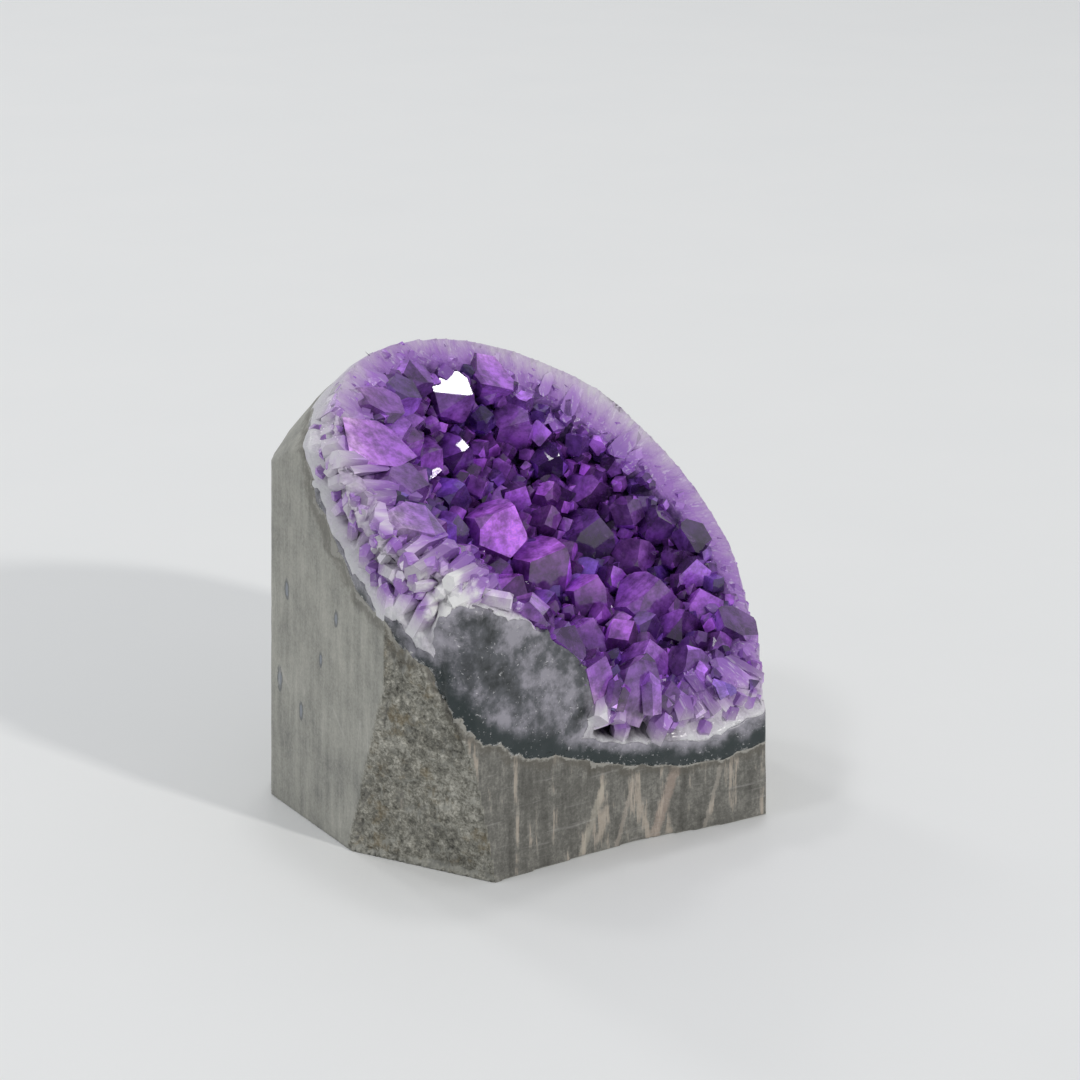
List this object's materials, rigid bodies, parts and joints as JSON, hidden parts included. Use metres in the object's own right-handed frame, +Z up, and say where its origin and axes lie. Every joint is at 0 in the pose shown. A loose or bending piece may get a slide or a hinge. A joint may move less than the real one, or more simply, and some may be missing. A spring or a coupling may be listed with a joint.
{
  "type": "amethyst geode",
  "caption": "Free-standing block of grey rock with a flat sawn base and a tilted hollow lined with purple quartz crystals.",
  "frame": {"origin": "middle of the overall box in X and Y, on the sawn base", "axes": "+Z up from the sawn base, +X along the sawn front face to its right, -Y out of the sawn front face"},
  "size_m": [0.094, 0.084, 0.0873],
  "materials": {
    "basalt": "fine-grained grey rock, sawn and ground matt, rough where broken",
    "agate": "dense smoky grey to blue-green agate, sawn and ground smooth",
    "quartz": "milky white to lilac crystalline quartz, rough where broken, ground smooth on the rim",
    "amethyst": "natural shining crystal faces, lilac at the root and deep purple at the point"
  },
  "bodies": {
    "root": {"basalt_block": "basalt", "agate_band": "agate", "quartz_bed": "quartz", "crystal_01": "amethyst", "crystal_02": "amethyst", "crystal_03": "amethyst", "crystal_04": "amethyst", "crystal_05": "amethyst", "crystal_06": "amethyst", "crystal_07": "amethyst", "crystal_08": "amethyst", "crystal_09": "amethyst", "crystal_10": "amethyst", "crystal_11": "amethyst", "crystal_12": "amethyst", "crystal_13": "amethyst", "crystal_14": "amethyst", "crystal_15": "amethyst", "crystal_16": "amethyst", "crystal_17": "amethyst", "crystal_18": "amethyst", "crystal_19": "amethyst", "crystal_20": "amethyst", "crystal_21": "amethyst", "crystal_22": "amethyst", "crystal_23": "amethyst", "crystal_24": "amethyst", "crystal_25": "amethyst", "crystal_26": "amethyst", "crystal_27": "amethyst", "crystal_28": "amethyst", "crystal_29": "amethyst", "crystal_30": "amethyst", "crystal_31": "amethyst", "crystal_32": "amethyst", "crystal_33": "amethyst", "crystal_34": "amethyst", "crystal_35": "amethyst", "crystal_36": "amethyst", "crystal_37": "amethyst", "crystal_38": "amethyst", "crystal_39": "amethyst", "crystal_40": "amethyst", "crystal_41": "amethyst", "crystal_42": "amethyst", "crystal_43": "amethyst", "crystal_44": "amethyst", "crystal_45": "amethyst", "crystal_46": "amethyst"}
  },
  "joints": []
}
